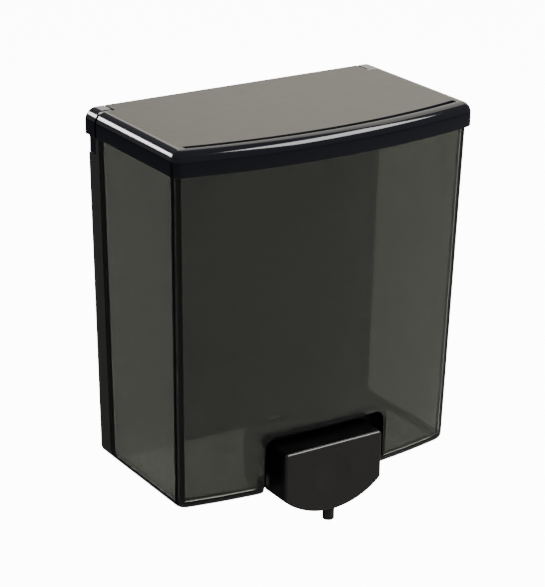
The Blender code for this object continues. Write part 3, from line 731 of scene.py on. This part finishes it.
# %% Pump cylinder, thread and nut
barrel = [(-60.4, 3.6), (-60.4, 7.3), (-60.1, 7.6), (-59.3, 7.6), (-59.0, 7.3), (-59.0, 5.0)]
barrel += [(-33.5, 5.0), (-32.9, 4.8), (-32.5, 4.2), (-32.5, 1.3), (-34.2, 1.3), (-36.0, 3.6)]
cylinder = thing("pump_cylinder", turned(barrel, 0.0, VALVE_Z, 56))
soften(cylinder, 0.15, 40)
put(cylinder, "dispenser", "valve_plastic", white, "valve_cylinder")
thread = wound("pump_thread", 13, 4.9, -53.4, -35.2, 0.42, 0.0, VALVE_Z, white)
put(thread, "dispenser", "valve_plastic", white)
hexagon = arc((0.0, VALVE_Z), 7.0 / math.cos(math.pi / 6), 0, 360, 6)[:-1]
cone = [(-53.0, 0), (-53.0, 6.7), (-51.2, 8.6), (-47.6, 8.6), (-45.8, 6.7), (-45.8, 0)]
nut = shape(thing("clamp_nut", prism(hexagon, "Y", -52.4, -46.4)), [
    ("INTERSECT", turned(cone, 0.0, VALVE_Z, 64)),
    ("DIFFERENCE", rod((0.0, VALVE_Z), "Y", -54.0, -44.0, VALVE_HOLE_R)),
])
soften(nut, 0.2, 40)
put(nut, "dispenser", "valve_plastic", white, "valve_nut")

# %% [markdown]
# Each ear is held by a small pan screw: a turned head with a cross drive, and a thread on its shank.
# The cross is two slots cut with blocks, and the thread is the same coil as the spring's.

# %% Ear screws
SLOT_LONG, SLOT_WIDE = 1.2, 0.25
head = [(-0.6, 0), (-0.6, 1.3), (-0.75, 1.65), (-1.1, 1.95), (-1.6, 2.1), (-2.2, 2.1), (-2.2, 1.1)]
shank = [(-7.8, 1.1), (-8.6, 0.5), (-8.6, 0)]
for side, name in ((-1, "left"), (1, "right")):
    x, z = side * SCREW_X, SCREW_Z
    slots = [("DIFFERENCE", block((x - wide, x + wide), (-1.35, 0.5), (z - tall, z + tall)))
             for wide, tall in ((SLOT_LONG, SLOT_WIDE), (SLOT_WIDE, SLOT_LONG))]
    screw = shape(thing("screw_" + name, turned(head + shank, x, z, 40)), slots)
    soften(screw, 0.06, 40)
    put(screw, "dispenser", "screw_steel", steel, "ear_screw_" + name)
    thread = wound("screw_thread_" + name, 6, 1.08, -7.9, -2.6, 0.16, x, z, steel)
    put(thread, "dispenser", "screw_steel", steel)

# %% [markdown]
# The floor is plain and white for the eye and for light that comes through the tank. Gloss would
# mirror that white and wash the black out, so reflections see a dimmer floor in the same place,
# with a dark card on the left that keeps the tank's side dark.

# %% Floor
def ground(name, level, shade, glow, seen_by, x=(-4000, 4000), y=(-4000, 4000)):
    floor = thing(name, block(x, y, (level - 20, level)))
    mat = plastic(name, (shade, shade, shade), 0.9)
    mat.node_tree.nodes["Principled BSDF"].inputs["Emission Color"].default_value = (1.0, 1.0, 1.0, 1.0)
    mat.node_tree.nodes["Principled BSDF"].inputs["Emission Strength"].default_value = glow
    floor.data.materials.append(mat)
    for ray in ("camera", "transmission", "diffuse", "glossy", "shadow"):
        setattr(floor, "visible_" + ray, ray in seen_by)
    return mat


FLOOR_Z = -400
ground("white_floor", FLOOR_Z, 0.9, 12.0, ("camera", "transmission"))
ground("dark_card", FLOOR_Z + 22, 0.01, 0.0, ("glossy",), (-2600, -120), (60, 3000))
dim = ground("dim_floor", FLOOR_Z - 1, 0.2, 0.0, ("diffuse", "glossy", "shadow"))
print("two floors and a dark card", -FLOOR_Z, "mm below the origin")

# %% [markdown]
# Polished edges seen at a shallow angle mirror the floor far behind the object. A soft bright patch
# there draws them as fine light lines. It is an oval gradient that fades out on the dim floor.

# %% Light patch on the dim floor
def light_patch(mat, place, turn, size, strength):
    nodes, links = mat.node_tree.nodes, mat.node_tree.links
    patch = nodes.new("ShaderNodeTexGradient")
    patch.gradient_type = "SPHERICAL"
    spread = nodes.new("ShaderNodeMapping")
    spread.vector_type = "TEXTURE"
    spread.inputs["Location"].default_value = place
    spread.inputs["Rotation"].default_value = (0.0, 0.0, math.radians(turn))
    spread.inputs["Scale"].default_value = size
    level = nodes.new("ShaderNodeMapRange")
    level.inputs["From Max"].default_value = 0.25
    level.inputs["To Max"].default_value = strength
    links.new(nodes.new("ShaderNodeTexCoord").outputs["Object"], spread.inputs["Vector"])
    links.new(spread.outputs["Vector"], patch.inputs["Vector"])
    links.new(patch.outputs["Fac"], level.inputs["Value"])
    links.new(level.outputs["Result"], nodes["Principled BSDF"].inputs["Emission Strength"])


light_patch(dim, (0.62, 0.93, -0.4), -32.7, (0.4, 0.8, 1.0), 5.0)
print("light patch behind the object")

# %% [markdown]
# Black gloss shows only what it mirrors, so each lamp is placed for one highlight: a large one behind
# on the right for the lid's flat top, a narrow one on the left for the white line along its left
# edge, and one in front for the lid's front edge and the button's.

# %% Light
world = bpy.data.worlds.new("studio")
bpy.context.scene.world = world
world.use_nodes = True
world.node_tree.nodes["Background"].inputs["Color"].default_value = (1.0, 1.0, 1.0, 1.0)
world.node_tree.nodes["Background"].inputs["Strength"].default_value = 0.25


def softbox(name, way, distance, size, radiance, colour=(1.0, 1.0, 1.0)):
    """A rectangular lamp in one direction from the object, facing it."""
    way = Vector(way).normalized()
    lamp = bpy.data.lights.new(name, "AREA")
    lamp.shape, lamp.size, lamp.size_y = "RECTANGLE", size[0], size[1]
    lamp.energy = radiance * size[0] * size[1] * math.pi
    lamp.color = colour
    obj = bpy.data.objects.new(name, lamp)
    obj.location = way * distance
    obj.rotation_euler = (-way).to_track_quat("-Z", "Y").to_euler()
    bpy.context.scene.collection.objects.link(obj)
    return obj


softbox("behind_above", (0.62, 0.52, 0.56), 2.0, (2.0, 1.9), 1.75, (1.0, 0.955, 0.86))
softbox("left_strip", (-0.46, 0.785, 0.41), 2.0, (0.7, 0.4), 26)
softbox("right_front", (0.50, -0.46, 0.72), 2.0, (1.1, 0.7), 14)

# %% [markdown]
# The camera stands on the left and a little above, at arm's length, and looks at a point inside the
# tank. Its place comes from two angles and a distance, which are easier to read than a matrix.

# %% Camera
azimuth, elevation, roll = map(math.radians, (-32.74, 20.99, 0.65))
distance = 0.90405
target = Vector((-5.23, -40.0, -3.45)) * MM
back = Vector((math.sin(azimuth) * math.cos(elevation), -math.cos(azimuth) * math.cos(elevation),
               math.sin(elevation)))
right = Vector((math.cos(azimuth), math.sin(azimuth), 0.0))
up = back.cross(right)
right, up = right * math.cos(roll) + up * math.sin(roll), up * math.cos(roll) - right * math.sin(roll)
camera = bpy.data.objects.new("camera", bpy.data.cameras.new("camera"))
camera.data.lens, camera.data.sensor_width = 129.27, 36.0
camera.matrix_world = Matrix.Translation(target + back * distance) @ Matrix(
    (right, up, back)).transposed().to_4x4()
bpy.context.scene.collection.objects.link(camera)
bpy.context.scene.camera = camera
print("camera at", [round(v, 3) for v in camera.matrix_world.translation])
